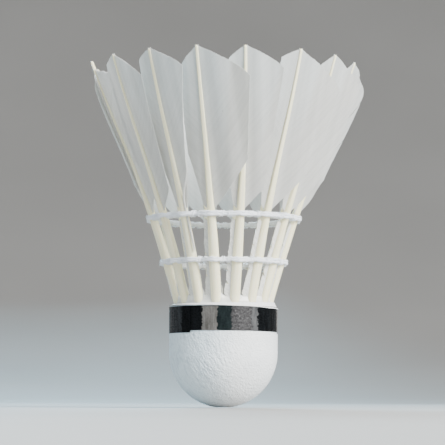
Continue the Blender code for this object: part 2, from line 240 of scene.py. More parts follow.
class Pile:
    """Points, faces and two flat coordinates for each point, gathered for one mesh."""

    def __init__(self):
        self.points = []
        self.flat = []
        self.faces = []
        self.count = 0

    def grid(self, points, flat, wrap_rows=False, wrap_columns=False):
        """Add a grid of points with its quads, and return the points' numbers."""
        rows, columns = points.shape[:2]
        numbers = np.arange(rows * columns).reshape(rows, columns) + self.count
        self.points.append(points.reshape(-1, 3))
        self.flat.append(np.broadcast_to(flat, (rows, columns, 2)).reshape(-1, 2))
        self.count += rows * columns
        ring = np.vstack([numbers, numbers[:1]]) if wrap_rows else numbers
        ring = np.hstack([ring, ring[:, :1]]) if wrap_columns else ring
        quads = np.stack([ring[:-1, :-1], ring[:-1, 1:], ring[1:, 1:], ring[1:, :-1]], axis=-1)
        self.faces.extend(quads.reshape(-1, 4).tolist())
        return numbers

    def stitch(self, first, second):
        """Join two lines of points with quads."""
        for a, b, c, d in zip(first, first[1:], second[1:], second):
            self.faces.append([int(a), int(b), int(c), int(d)])

    def rim(self, front, back):
        """Close the gap all round between two grids of the same shape."""
        for line in (np.s_[0], np.s_[-1], np.s_[:, 0], np.s_[:, -1]):
            self.stitch(front[line], back[line])

    def cap(self, ring):
        """Close a ring with one face."""
        self.faces.append([int(number) for number in ring])

    def tube(self, path, radii, sides, flat_scale=1.0):
        """A closed tube along a ring of points, with a radius for each point and side."""
        ahead = np.roll(path, -1, axis=0) - np.roll(path, 1, axis=0)
        ahead = ahead / np.linalg.norm(ahead, axis=1, keepdims=True)
        away = path - path.mean(axis=0)
        away = away - (away * ahead).sum(axis=1, keepdims=True) * ahead
        away = away / np.linalg.norm(away, axis=1, keepdims=True)
        over = np.cross(ahead, away)
        angle = np.arange(sides) * TURN / sides
        outward = np.cos(angle)[None, :, None] * away[:, None]
        outward = outward + np.sin(angle)[None, :, None] * over[:, None]
        steps = np.linalg.norm(np.diff(path, axis=0), axis=1)
        length = np.concatenate([[0.0], np.cumsum(steps)]) / MM
        flat = np.stack(np.broadcast_arrays(length[:, None], angle[None, :] * flat_scale), axis=-1)
        self.grid(path[:, None] + radii[..., None] * outward, flat, wrap_rows=True, wrap_columns=True)


def smoothstep(low, high, value):
    """0 below low, 1 above high and a smooth rise between."""
    share = np.clip((value - low) / (high - low), 0.0, 1.0)
    return share * share * (3 - 2 * share)


def ripple(x, y, seed):
    """Smooth noise between about -1 and 1."""
    return noise.noise(Vector((x, y, seed)))


def mesh_object(name, pile, look, sharp_degrees):
    """A smooth-shaded mesh object with a layer of flat coordinates."""
    mesh = bpy.data.meshes.new(name)
    mesh.from_pydata(np.vstack(pile.points).tolist(), [], pile.faces)
    shape = bmesh.new()
    shape.from_mesh(mesh)
    bmesh.ops.recalc_face_normals(shape, faces=shape.faces)
    shape.to_mesh(mesh)
    shape.free()
    corners = np.empty(len(mesh.loops), dtype=np.int64)
    mesh.loops.foreach_get("vertex_index", corners)
    flat = np.vstack(pile.flat)[corners]
    layer = mesh.uv_layers.new(name="flat")
    layer.data.foreach_set("uv", flat.astype(np.float32).ravel())
    mesh.shade_smooth()
    mesh.set_sharp_from_angle(angle=math.radians(sharp_degrees))
    mesh.materials.append(look)
    made = bpy.data.objects.new(name, mesh)
    bpy.context.scene.collection.objects.link(made)
    return made


def piece(name, pile, look, node, sharp_degrees=50.0):
    """A visible piece that rides on the root body and stands for a CAD node."""
    made = mesh_object(name, pile, look, sharp_degrees)
    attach(made, "root")
    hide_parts(node)
    return made


# Materials

class Look:
    """Short calls for building a material's node tree."""

    def __init__(self, name):
        self.material = bpy.data.materials.new(name)
        self.material.use_nodes = True
        self.tree = self.material.node_tree
        self.shader = self.tree.nodes["Principled BSDF"]
        self.output = self.tree.nodes["Material Output"]

    def add(self, kind, **settings):
        node = self.tree.nodes.new(kind)
        for key, value in settings.items():
            setattr(node, key, value)
        return node

    def feed(self, socket, value):
        """Link an output to a socket, or set the socket to a number or colour."""
        if isinstance(value, bpy.types.NodeSocket):
            self.tree.links.new(value, socket)
        elif isinstance(value, tuple):
            socket.default_value = (*value, 1.0)
        else:
            socket.default_value = value

    def flat(self, x_scale, y_scale):
        """The piece's flat coordinates in millimetres, scaled."""
        mapping = self.add("ShaderNodeMapping")
        mapping.inputs["Scale"].default_value = (x_scale, y_scale, 1.0)
        self.feed(mapping.inputs["Vector"], self.add("ShaderNodeUVMap", uv_map="flat").outputs["UV"])
        return mapping.outputs["Vector"]

    def solid(self, scale, stretch=(1.0, 1.0, 1.0), turn=0.0):
        """The object's own coordinates in metres, turned about Y and then scaled."""
        turned_space = self.add("ShaderNodeMapping")
        turned_space.inputs["Rotation"].default_value = (0.0, turn, 0.0)
        self.feed(turned_space.inputs["Vector"], self.add("ShaderNodeTexCoord").outputs["Object"])
        mapping = self.add("ShaderNodeMapping")
        mapping.inputs["Scale"].default_value = tuple(scale * share for share in stretch)
        self.feed(mapping.inputs["Vector"], turned_space.outputs["Vector"])
        return mapping.outputs["Vector"]

    def part(self, vector, axis):
        """One part of a vector."""
        split = self.add("ShaderNodeSeparateXYZ")
        self.feed(split.inputs["Vector"], vector)
        return split.outputs[axis]

    def noise(self, where, detail=3.0, roughness=0.5, distortion=0.0):
        node = self.add("ShaderNodeTexNoise")
        node.inputs["Scale"].default_value = 1.0
        node.inputs["Detail"].default_value = detail
        node.inputs["Roughness"].default_value = roughness
        node.inputs["Distortion"].default_value = distortion
        self.feed(node.inputs["Vector"], where)
        return node.outputs["Fac"]

    def cells(self, where, feature="F1"):
        node = self.add("ShaderNodeTexVoronoi", feature=feature)
        node.inputs["Scale"].default_value = 1.0
        self.feed(node.inputs["Vector"], where)
        return node.outputs["Distance"]

    def ramp(self, value, *stops):
        """Colours at positions along a value."""
        node = self.add("ShaderNodeValToRGB")
        while len(node.color_ramp.elements) < len(stops):
            node.color_ramp.elements.new(0.5)
        for element, (position, colour) in zip(node.color_ramp.elements, stops):
            element.position = position
            element.color = (*colour, 1.0)
        self.feed(node.inputs["Fac"], value)
        return node.outputs["Color"]

    def math(self, operation, first, second):
        node = self.add("ShaderNodeMath", operation=operation)
        self.feed(node.inputs[0], first)
        self.feed(node.inputs[1], second)
        return node.outputs["Value"]

    def remap(self, value, low, high, to_low, to_high):
        """A value moved from one range to another, held at its ends."""
        node = self.add("ShaderNodeMapRange")
        self.feed(node.inputs["Value"], value)
        for socket, number in zip(node.inputs[1:5], (low, high, to_low, to_high)):
            socket.default_value = number
        return node.outputs["Result"]

    def blend(self, share, first, second, mode="MIX"):
        """Two colours mixed by a share, or one laid on the other."""
        node = self.add("ShaderNodeMix", data_type="RGBA", blend_type=mode)
        self.feed(node.inputs[0], share)
        self.feed(node.inputs[6], first)
        self.feed(node.inputs[7], second)
        return node.outputs[2]

    def bump(self, height, strength, distance, onto=None):
        node = self.add("ShaderNodeBump")
        node.inputs["Strength"].default_value = strength
        node.inputs["Distance"].default_value = distance
        self.feed(node.inputs["Height"], height)
        if onto is not None:
            self.feed(node.inputs["Normal"], onto)
        return node.outputs["Normal"]

    def set(self, **values):
        """Feed the shader's sockets by their names, with underscores for spaces."""
        for key, value in values.items():
            self.feed(self.shader.inputs[key.replace("_", " ")], value)

    def set_vector(self, name, value):
        self.shader.inputs[name].default_value = value


def web_look():
    """Feather web: soft white barbs with fine streaks along them and broad bands of painted shade; the
    barbs let some light through.
    """
    look = Look("feather_web")
    streaks = look.noise(look.flat(1.1, 0.05), 4.0, 0.6)
    bands = look.noise(look.flat(0.03, 0.42), 2.0)
    specks = look.noise(look.solid(900.0), 2.0)
    tone = look.ramp(
        streaks, (0.30, (0.72, 0.725, 0.71)), (0.52, (0.78, 0.785, 0.77)), (0.74, (0.82, 0.82, 0.80)))
    # Painted shade: soft darker and lighter bands across the vane, from the bands noise, stand in for the
    # shadows of its wavy folds.
    broad_brightness = look.ramp(
        bands, (0.32, (0.86, 0.865, 0.86)), (0.50, (0.95, 0.95, 0.945)), (0.68, (1.0, 1.0, 1.0)))
    soil = look.ramp(specks, (0.20, (0.62, 0.62, 0.60)), (0.25, (1.0, 1.0, 1.0)))
    colour = look.blend(1.0, look.blend(1.0, tone, broad_brightness, "MULTIPLY"), soil, "MULTIPLY")
    normal = look.bump(look.noise(look.flat(5.0, 0.9), 2.0), 0.25, 0.05 * MM)
    look.set(Base_Color=colour, Roughness=0.6, Normal=normal, Specular_IOR_Level=0.3)
    look.set(Sheen_Weight=0.2, Sheen_Roughness=0.4)
    through = look.add("ShaderNodeBsdfTranslucent")
    look.feed(through.inputs["Color"], colour)
    look.feed(through.inputs["Normal"], normal)
    body = look.add("ShaderNodeMixShader")
    body.inputs["Fac"].default_value = 0.36
    look.feed(body.inputs[1], look.shader.outputs["BSDF"])
    look.feed(body.inputs[2], through.outputs["BSDF"])
    gaps = look.add("ShaderNodeMixShader")
    gaps.inputs["Fac"].default_value = 0.13
    look.feed(gaps.inputs[1], body.outputs["Shader"])
    look.feed(gaps.inputs[2], look.add("ShaderNodeBsdfTransparent").outputs["BSDF"])
    look.feed(look.output.inputs["Surface"], gaps.outputs["Shader"])
    return look.material


def quill_look():
    """Keratin: cream and waxy, with faint streaks down its length."""
    look = Look("quill")
    streaks = look.noise(look.flat(2.2, 0.08), 4.0, 0.6)
    blotches = look.noise(look.flat(0.6, 0.14), 2.0)
    tone = look.ramp(
        streaks, (0.28, (0.92, 0.86, 0.60)), (0.50, (0.99, 0.95, 0.70)), (0.76, (1.0, 0.98, 0.80)))
    warmth = look.ramp(blotches, (0.30, (0.96, 0.94, 0.87)), (0.70, (1.0, 1.0, 1.0)))
    colour = look.blend(1.0, tone, warmth, "MULTIPLY")
    rough = look.remap(streaks, 0.2, 0.8, 0.32, 0.50)
    look.set(Base_Color=colour, Roughness=rough, Normal=look.bump(streaks, 0.3, 0.06 * MM))
    look.set(Subsurface_Weight=0.15, Subsurface_Scale=0.6 * MM)
    look.set_vector("Subsurface Radius", (0.9, 0.7, 0.45))
    return look.material


def stub_look():
    """Cut barb stubs: ragged, matt and greyer than the quill."""
    look = Look("barb_stubs")
    streaks = look.noise(look.flat(2.4, 0.9), 4.0, 0.7)
    colour = look.ramp(
        streaks, (0.30, (0.56, 0.57, 0.54)), (0.52, (0.74, 0.745, 0.71)), (0.76, (0.88, 0.88, 0.85)))
    look.set(Base_Color=colour, Roughness=0.8, Normal=look.bump(streaks, 0.6, 0.1 * MM))
    return look.material


def thread_look():
    """Glue-soaked white thread with a cool cast."""
    look = Look("thread")
    fibres = look.noise(look.flat(1.3, 1.6), 4.0, 0.65)
    colour = look.ramp(
        fibres, (0.28, (0.74, 0.78, 0.83)), (0.52, (0.86, 0.90, 0.95)), (0.76, (0.93, 0.96, 0.98)))
    look.set(Base_Color=colour, Roughness=0.5, Normal=look.bump(fibres, 0.7, 0.12 * MM))
    look.set(Coat_Weight=0.25, Coat_Roughness=0.3)
    return look.material


def leather_look():
    """White kid leather: pebbled grain crossed by fine creases with painted shade along them, slightly
    soiled, and tinted by a painted cool light that is strongest towards -X.
    """
    look = Look("white_leather")
    grain = look.cells(look.solid(2600.0), "SMOOTH_F1")
    creases = look.noise(look.solid(1500.0, (1.0, 1.0, 0.24), 0.47), 3.0, 0.6, 0.25)
    soil = look.noise(look.solid(160.0), 4.0, 0.55)
    # This mask grows towards -X: it deepens the creases there and sets how strong the painted light and
    # painted shade are.
    wear_and_painted_light = look.remap(look.part(look.solid(1000.0), "X"), -5.0, 3.0, 1.0, 0.25)
    tone = look.ramp(
        soil, (0.30, (0.84, 0.85, 0.86)), (0.50, (0.90, 0.905, 0.91)), (0.74, (0.93, 0.93, 0.93)))
    # Painted cool light: a blue tint, full at -X and a quarter as strong at +X.
    cool = look.blend(wear_and_painted_light, tone, look.blend(1.0, tone, (0.80, 0.93, 1.0), "MULTIPLY"))
    # Painted shade: the colour darkens along the low lines of the crease bump, more so towards -X.
    crease_shade = look.ramp(creases, (0.36, (0.78, 0.80, 0.82)), (0.50, (1.0, 1.0, 1.0)))
    colour = look.blend(look.math("MULTIPLY", wear_and_painted_light, 0.8), cool, crease_shade, "MULTIPLY")
    folds = look.math("MULTIPLY", creases, wear_and_painted_light)
    normal = look.bump(folds, 1.0, 0.36 * MM, look.bump(grain, 1.0, 0.16 * MM))
    look.set(Base_Color=colour, Roughness=look.remap(creases, 0.3, 0.7, 0.62, 0.46), Normal=normal)
    look.set(Specular_IOR_Level=0.4)
    return look.material


def foil_look():
    """Black foil tape with patches of wear whose edges are ragged, placed by the arc length from -Y; the
    silver patches are nearly black with white flecks that are painted glints.
    """
    look = Look("black_foil")
    ragged = look.noise(look.flat(0.9, 1.3), 5.0, 0.7)
    crinkle = look.noise(look.flat(2.4, 2.4), 5.0, 0.7)
    glint_noise = look.noise(look.flat(1.5, 1.9), 5.0, 0.75)
    waves = look.noise(look.flat(0.9, 0.22), 2.0)
    # Painted glints: the silver patch is nearly black, and its sparse white flecks stand in for the sparkle
    # of light on the foil.
    silver_and_painted_glints = look.ramp(
        glint_noise, (0.34, (0.022, 0.022, 0.023)), (0.60, (0.075, 0.074, 0.077)),
        (0.70, (0.17, 0.17, 0.175)), (0.78, (0.90, 0.90, 0.90)))
    pale = look.ramp(waves, (0.34, (0.055, 0.057, 0.060)), (0.66, (0.105, 0.108, 0.111)))
    taupe = look.ramp(waves, (0.34, (0.072, 0.069, 0.065)), (0.66, (0.160, 0.156, 0.150)))
    petrol = look.ramp(waves, (0.34, (0.006, 0.009, 0.010)), (0.66, (0.013, 0.019, 0.020)))
    dull = look.ramp(waves, (0.34, (0.014, 0.015, 0.017)), (0.66, (0.036, 0.039, 0.043)))
    kinds = {
        "silver_and_painted_glints": (silver_and_painted_glints, 0.3),
        "pale": (pale, 0.1),
        "taupe": (taupe, 0.1),
        "petrol": (petrol, 0.0),
        "dull": (dull, 0.0),
    }
    soft_edge = 0.07
    shift = look.math("MULTIPLY", look.math("SUBTRACT", ragged, 0.5), 2.6)
    arc = look.math("ADD", look.part(look.flat(1.0, 1.0), "X"), shift)
    colour = look.ramp(waves, (0.35, (0.002, 0.0025, 0.003)), (0.65, (0.005, 0.006, 0.007)))
    metal = 0.0
    for start, end, kind in TAPE_PATCHES:
        patch, shine = kinds[kind]
        low = math.radians(start) * BASE_RADIUS / MM
        high = math.radians(end) * BASE_RADIUS / MM
        after = look.remap(arc, low - soft_edge, low + soft_edge, 0.0, 1.0)
        before = look.remap(arc, high - soft_edge, high + soft_edge, 1.0, 0.0)
        inside = look.math("MULTIPLY", after, before)
        colour = look.blend(inside, colour, patch)
        metal = look.math("MAXIMUM", look.math("MULTIPLY", inside, shine), metal)
    normal = look.bump(crinkle, 0.2, 0.08 * MM, look.bump(waves, 0.4, 0.3 * MM))
    rough = look.remap(crinkle, 0.3, 0.7, 0.20, 0.36)
    look.set(Base_Color=colour, Roughness=rough, Metallic=metal, Normal=normal)
    look.set(Specular_IOR_Level=0.05)
    return look.material


def ribbon_look():
    """Ribbon: fine white weave."""
    look = Look("ribbon")
    weave = look.cells(look.flat(4.2, 4.2))
    colour = look.ramp(weave, (0.1, (0.92, 0.93, 0.94)), (0.8, (0.74, 0.76, 0.78)))
    look.set(Base_Color=colour, Roughness=0.72, Normal=look.bump(weave, 0.5, 0.06 * MM))
    return look.material


def glue_look():
    """Dried glue: milky, glossy and slightly see-into."""
    look = Look("dried_glue")
    clouds = look.noise(look.solid(420.0), 3.0, 0.55)
    colour = look.ramp(
        clouds, (0.30, (0.68, 0.69, 0.66)), (0.60, (0.86, 0.86, 0.82)), (0.80, (0.93, 0.93, 0.91)))
    look.set(Base_Color=colour, Roughness=0.26, Normal=look.bump(clouds, 0.4, 0.15 * MM))
    look.set(Subsurface_Weight=0.35, Subsurface_Scale=0.8 * MM)
    look.set_vector("Subsurface Radius", (1.0, 0.9, 0.8))
    return look.material


def cork_look(name, grain, dark, light):
    """Cork: granules with dark flecks between them."""
    look = Look(name)
    granules = look.cells(look.solid(grain))
    flecks = look.noise(look.solid(grain * 2.4), 4.0, 0.6)
    base = look.ramp(granules, (0.10, dark), (0.70, light))
    shade = look.ramp(flecks, (0.34, (0.35, 0.28, 0.22)), (0.46, (1.0, 1.0, 1.0)))
    colour = look.blend(0.8, base, shade, "MULTIPLY")
    look.set(Base_Color=colour, Roughness=0.88, Normal=look.bump(granules, 0.6, 0.2 * MM))
    return look.material


def stage_look():
    """Pale grey floor."""
    look = Look("pale_stage")
    broad_brightness = look.noise(look.solid(6.0), 2.0)
    colour = look.ramp(broad_brightness, (0.3, (0.375, 0.37, 0.36)), (0.7, (0.405, 0.40, 0.39)))
    look.set(Base_Color=colour, Roughness=0.9)
    return look.material


# Feathers

def on_circle(radius, azimuth, z):
    """Points at azimuths that grow counterclockwise from -Y, seen from above."""
    radius, azimuth, z = np.broadcast_arrays(radius, azimuth, z)
    return np.stack([radius * np.sin(azimuth), -radius * np.cos(azimuth), z], axis=-1)


def leaning(azimuth, z):
    """Azimuth of a shaft at a height, for a feather whose tip is at the given azimuth."""
    return azimuth + LEAN * (TIP_HEIGHT - z) / (TIP_HEIGHT - BASE_TOP)


def shaft_radius(z):
    """Distance from the axis to the shaft's centre line."""
    over = z - BASE_TOP
    eased = np.maximum(0.0, z - EASE_HEIGHT)
    return CIRCLE_RADIUS + FLARE * over + FLARE_GROWTH * over ** 2 - EASE_GROWTH * eased ** 2


def half_width(z):
    """Half the shaft's width along the circle."""
    return np.interp(z, SHAFT_HEIGHTS, SHAFT_HALF_WIDTHS)


def half_depth(z):
    """Half the shaft's depth outward."""
    return np.interp(z, SHAFT_HEIGHTS, SHAFT_HALF_DEPTHS)


def barb_rise(x):
    """How far a barb has climbed once it is x metres out from the shaft."""
    return BARB_RISE * x + BARB_CURL * x * x


def surface_normals(points):
    """Unit normals of a grid of points from its own differences."""
    normal = np.cross(np.gradient(points, axis=0), np.gradient(points, axis=1))
    return normal / np.maximum(np.linalg.norm(normal, axis=-1, keepdims=True), 1e-12)


class Feather:
    """One feather's own measures and the pieces made from them."""

    def __init__(self, index):
        self.index = index
        self.name = f"feather_{index + 1:02d}"
        self.azimuth = PITCH * (index + 0.5)
        self.chance = random.Random(100 + index)
        self.wide = WIDE_WEB_WIDTHS[index] * MM
        self.waist = self.wide * (WIDEST_WAIST - WAIST_LOSS * (WIDEST_WEB - self.wide))
        self.top_slope = WIDE_TOP_SLOPES[index]
        self.narrow = NARROW_WEB_WIDTHS[index] * MM
        self.narrow_drop = NARROW_WEB_DROPS[index] * MM
        self.bend = TIP_BENDS[index] * MM
        self.spread = TIP_SPREADS[index] * MM
        self.slope = WEB_SLOPES[index]
        self.wave = self.chance.uniform(0.14, 0.22) * MM
        self.phase = self.chance.uniform(0.0, TURN)
        self.top = TIP_HEIGHT - (WORN_DROP if index == WORN_FEATHER else WEB_TOP_INSET)
        self.shaft_top = TIP_HEIGHT - (0.0 if index == WORN_FEATHER else TIP_INSET)

    def frame(self, z):
        """Centre of the shaft, the outward direction and the direction along the circle."""
        here = leaning(self.azimuth, z)
        along = on_circle(1.0, here + math.pi / 2, 0.0)
        share = np.clip((z - THREAD_ROWS["upper"]) / (TIP_HEIGHT - THREAD_ROWS["upper"]), 0.0, 1.0)
        centre = on_circle(shaft_radius(z) + self.spread * share ** 2, here, z)
        return centre + (self.bend * share ** 1.5)[..., None] * along, on_circle(1.0, here, 0.0), along

    def blade(self, across, z):
        """Points of the curved blade, across metres counterclockwise of the shaft."""
        centre, radial, along = self.frame(z)
        lift = self.slope * across - across ** 2 / (2 * WEB_CAMBER_RADIUS)
        bands = np.sin(across / WEB_WAVE_WIDTH + self.phase + z / WEB_WAVE_LENGTH)
        lift = lift + self.wave * bands * smoothstep(0.0, 3.0 * MM, np.abs(across))
        return centre + across[..., None] * along + lift[..., None] * radial

    def wide_edge(self, z):
        """How far out the wide web's free edge is at a height."""
        full = TIP_HEIGHT - self.top_slope * self.wide
        if self.index == LOOSE_FEATHER:
            return np.interp(z, [WEB_FOOT, LOOSE_STRIP_TOP, full], [*LOOSE_EDGE_WIDTHS, self.wide])
        return np.interp(z, [WEB_FOOT + WEB_FOOT_SLOPE * self.waist, full], [self.waist, self.wide])

    def wide_top(self, across):
        """Height of the wide web's cut top at a distance from the shaft."""
        share = across / self.wide
        return self.top - self.wide * (self.top_slope * share + WIDE_TOP_ROUNDING * share ** 7)

    def narrow_edge(self, z):
        """How far out the narrow web's free edge is at a height."""
        widths = [1.7 * MM, 2.9 * MM, 1.10 * self.narrow, 1.15 * self.narrow, self.narrow]
        return np.interp(z, NARROW_EDGE_HEIGHTS, widths)

    def narrow_top(self, across):
        """Height of the narrow web's cut top at a distance from the shaft."""
        share = across / self.narrow
        return self.top - self.narrow_drop * (0.85 * share + 0.15 * share ** 4)

    def stub_edge(self, z):
        """Outline of the cut stubs, irregular and fading out at both ends."""
        fade = smoothstep(STUB_FADE_FOOT, STUB_FOOT, z) * (1 - smoothstep(*STUB_FADE, z))
        uneven = 0.06 * np.sin(z / (1.9 * MM) + self.phase) + 0.05 * np.sin(z / (0.7 * MM) + 2 * self.phase)
        flare = 0.45 * (1 - smoothstep(*STUB_FLARE, z))
        return half_width(z) + STUB_WIDTH * (0.15 + (0.78 + uneven + flare) * fade)

    def stub_top(self, across):
        """The level that the topmost stubs are cut at."""
        return np.full_like(across, STUB_TOP + 1.0 * MM)

    def reach(self, starts, edge, top):
        """How far out each barb runs before it meets the free edge or the cut top, by bisection."""
        near = np.zeros_like(starts)
        far = np.full_like(starts, 20 * MM)
        for _ in range(24):
            middle = (near + far) / 2
            z = starts + barb_rise(middle)
            across = middle + half_width(z)
            inside = (across < edge(z)) & (z < top(across))
            near = np.where(inside, middle, near)
            far = np.where(inside, far, middle)
        return near

    def add_panel(self, pile, side, starts, reach, ridge, opening, rows, thickness):
        """One unbroken run of barbs as a closed sheet with a ridge along each barb."""
        share = np.linspace(0.0, 1.0, rows + 1) ** 0.9
        x = reach[:, None] * share
        z = starts[:, None] + barb_rise(x) + opening[:, None] * smoothstep(0.3, 1.0, share)
        middle = self.blade(side * (half_width(z) - WEB_OVERLAP + x), z)
        taper = np.interp(share, *BARB_THICKNESS) * MM * thickness
        height = taper * (0.84 + 0.30 * ridge[:, None])
        offset = surface_normals(middle) * height[..., None] / 2
        flat = np.stack(np.broadcast_arrays(starts[:, None], x), axis=-1) / MM
        front = pile.grid(middle + offset, flat)
        back = pile.grid(middle - offset, flat)
        pile.rim(front, back)

    def add_barbs(self, pile, side, start, end, edge, top, rows, tears, ragged, thickness=1.0):
        """A web: barbs from one height of the shaft to another, torn apart in a few places."""
        barbs = int((end - start) / BARB_PITCH)
        columns = barbs * BARB_COLUMNS + 1
        starts = np.linspace(start, end, columns)
        ridge = 0.5 - 0.5 * np.cos(TURN * np.arange(columns) / BARB_COLUMNS)
        lengths = [self.chance.uniform(0.0, 1.0) for _ in range(barbs + 1)]
        uneven = np.repeat(lengths, BARB_COLUMNS)[:columns]
        reach = self.reach(starts, edge, top) - ragged * (uneven + 0.8 * (1 - ridge))
        reach = np.maximum(reach, 0.10 * MM)
        first, last = TEAR_MARGINS
        splits = sorted(self.chance.sample(range(first, barbs - last), tears))
        bounds = [0] + [split * BARB_COLUMNS for split in splits] + [columns - 1]
        gaps = [0.0] + [self.chance.uniform(0.25, 0.7) * MM for _ in splits] + [0.0]
        for number, (low, high) in enumerate(zip(bounds, bounds[1:])):
            run = np.arange(low, high + 1)
            below = np.exp(-(run - low) / TEAR_REACH)
            above = np.exp(-(high - run) / TEAR_REACH)
            opening = (gaps[number] * below - gaps[number + 1] * above) / 2
            self.add_panel(pile, side, starts[run], reach[run], ridge[run], opening, rows, thickness)

    def add_webs(self, look):
        """The wide and the narrow web, as one piece each."""
        end = self.top - 0.12 * MM
        tears = WIDE_TEARS[self.index]
        wide = Pile()
        ragged = WORN_RAGGED if self.index == WORN_FEATHER else WEB_RAGGED
        self.add_barbs(wide, 1, WEB_FOOT, end, self.wide_edge, self.wide_top, WIDE_ROWS, tears, ragged)
        if self.index == LOOSE_FEATHER:
            self.add_loose_strip(wide)
        piece(f"{self.name}_wide_barbs", wide, look, f"{self.name}_wide_web")
        narrow = Pile()
        self.add_barbs(narrow, -1, WEB_FOOT, end, self.narrow_edge, self.narrow_top,
                       NARROW_ROWS, tears // 2, ragged)
        piece(f"{self.name}_narrow_barbs", narrow, look, f"{self.name}_narrow_web")

    def add_loose_strip(self, pile):
        """A torn run of barbs that curls off the wide web and is tied down along the quill."""
        share = np.linspace(0.0, 1.0, 50)[:, None]
        side = np.linspace(-1.0, 1.0, 7)[None, :]
        z = LOOSE_STRIP_TOP - (20.5 * share - 0.2 * side) * MM
        swing = 3.3 * (1 - smoothstep(0.0, 0.48, share)) + 0.35 * smoothstep(0.55, 1.0, share)
        width = 0.36 * MM * np.sin(math.pi * (0.06 + 0.92 * share)) ** 0.4
        across = half_width(z) + (swing - 0.1) * MM + side * width
        middle = self.blade(across, z)
        radial = on_circle(1.0, leaning(self.azimuth, z), 0.0)
        curl = (0.42 + 0.22 * (1 - side ** 2)) * MM
        flat = np.stack(np.broadcast_arrays(20.0 * share, side), axis=-1)
        front = pile.grid(middle + (curl + 0.06 * MM)[..., None] * radial, flat)
        back = pile.grid(middle + (curl - 0.06 * MM)[..., None] * radial, flat)
        pile.rim(front, back)

    def shaft_outline(self, z, angle):
        """Offsets along the circle and outward: round at the quill, with grooved flanks and belly above."""
        ridged = float(smoothstep(42.0 * MM, 52.0 * MM, z))
        flank = 1 - 0.16 * ridged * np.exp(-((np.abs(np.sin(angle)) - 0.30) / 0.16) ** 2)
        square = 1 - 0.08 * ridged * np.cos(4 * angle)
        groove = 1 - 0.30 * ridged * np.exp(-((angle - 1.5 * math.pi) / 0.30) ** 2)
        along = half_width(z) * np.cos(angle) * square * flank
        return along, half_depth(z) * np.sin(angle) * square * groove

    def add_shaft(self, look):
        """Quill and rachis as one tapering shaft with a slightly rounded tip."""
        pile = Pile()
        angle = np.arange(SHAFT_SIDES) * TURN / SHAFT_SIDES
        lower = np.linspace(SHAFT_FOOT, QUILL_TOP, QUILL_RINGS)
        upper = np.linspace(RACHIS_FOOT, self.shaft_top - 0.5 * MM, RACHIS_RINGS)
        heights = np.concatenate([lower, upper, self.shaft_top - TIP_RINGS])
        centre, radial, along = self.frame(heights)
        rings = np.empty((len(heights), len(angle), 3))
        for row, z in enumerate(heights):
            slope = FLARE + 2 * FLARE_GROWTH * (z - BASE_TOP) - 2 * EASE_GROWTH * max(0.0, z - EASE_HEIGHT)
            outward = radial[row] - np.array([0.0, 0.0, slope])
            outward = outward / np.linalg.norm(outward)
            across, out = self.shaft_outline(z, angle)
            swell = 1 + 0.03 * ripple(z * 260.0, self.index * 3.1, 0.0)
            swell = swell * (1 - 0.5 * smoothstep(TIP_RINGS[0], 0.0, self.shaft_top - z))
            rings[row] = centre[row] + swell * (across[:, None] * along[row] + out[:, None] * outward)
        around = angle * half_width(40 * MM) / MM
        flat = np.stack(np.meshgrid(around, heights / MM), axis=-1)
        numbers = pile.grid(rings, flat, wrap_columns=True)
        pile.cap(numbers[0][::-1])
        pile.cap(numbers[-1])
        piece(f"{self.name}_quill", pile, look, f"{self.name}_shaft", 60.0)

    def add_stubs(self, look):
        """The barbs of the bare quill, cut short, on the narrow web's side."""
        pile = Pile()
        end = STUB_TOP - 0.4 * MM
        self.add_barbs(pile, -1, STUB_FOOT, end, self.stub_edge, self.stub_top,
                       STUB_ROWS, STUB_TEARS, STUB_RAGGED, STUB_THICKNESS)
        piece(f"{self.name}_stubs", pile, look, f"{self.name}_shaft")


# Threads

def strand_path(z, side, lift, radius):
    """A ring that bows round each quill and is drawn in between two."""
    quill = float(half_depth(z)) + radius
    pinched = radius + YARN_PINCH
    points = []
    for step in range(FEATHERS * STRAND_STEPS_PER_FEATHER):
        turn = TURN * step / STRAND_STEPS_PER_FEATHER
        azimuth = leaning(PITCH / 2, z) + turn / FEATHERS
        wave = (0.5 + 0.5 * math.cos(turn)) ** 0.75
        uneven = 0.17 * MM * ripple(azimuth * 9.0, z * 700.0, lift * 3000.0)
        reach = shaft_radius(z) + side * (pinched + (quill - pinched) * wave) + uneven * 0.4
        points.append(on_circle(reach, azimuth, z + lift * (0.75 + 0.25 * wave) + uneven))
    return np.array(points)


def add_yarn(pile, path, radius):
    """A soft two-ply yarn, thicker in places where glue has soaked it."""
    angle = np.arange(YARN_SIDES) * TURN / YARN_SIDES
    step = np.arange(len(path))
    twist = TURN * round(len(path) / 7.0) * step / len(path)
    plies = 1 + 0.09 * np.cos(2 * angle[None, :] - twist[:, None])
    glue = np.array([1 + 0.16 * ripple(0.21 * place, radius * 9000.0, 6.0) for place in step])
    lumps = np.array([1 + 0.10 * ripple(0.7 * place, 2.0, radius * 9000.0) for place in step])
    knots = 0.90 + 0.16 * (0.5 + 0.5 * np.cos(TURN * FEATHERS * step / len(path))) ** 2
    pile.tube(path, radius * plies * (glue * lumps * knots)[:, None], YARN_SIDES, 0.35)


def add_fuzz(pile, path, radius, chance):
    """Loose loops of fibre that stand a little out of a yarn."""
    angle = np.arange(FUZZ_STEPS)[:, None] * TURN / FUZZ_STEPS
    for _ in range(FEATHERS * FUZZ_PER_FEATHER):
        place = chance.randrange(len(path) - 3)
        ahead = path[place + 3] - path[place]
        away = np.array([chance.uniform(-1.0, 1.0) for _ in range(3)])
        away = away / np.linalg.norm(away)
        loop = path[place] + away * radius * (0.9 + 0.75 * np.cos(angle)) + ahead * np.sin(angle) * 0.6
        pile.tube(loop, np.full((FUZZ_STEPS, FUZZ_SIDES), FUZZ_RADIUS), FUZZ_SIDES, 0.1)


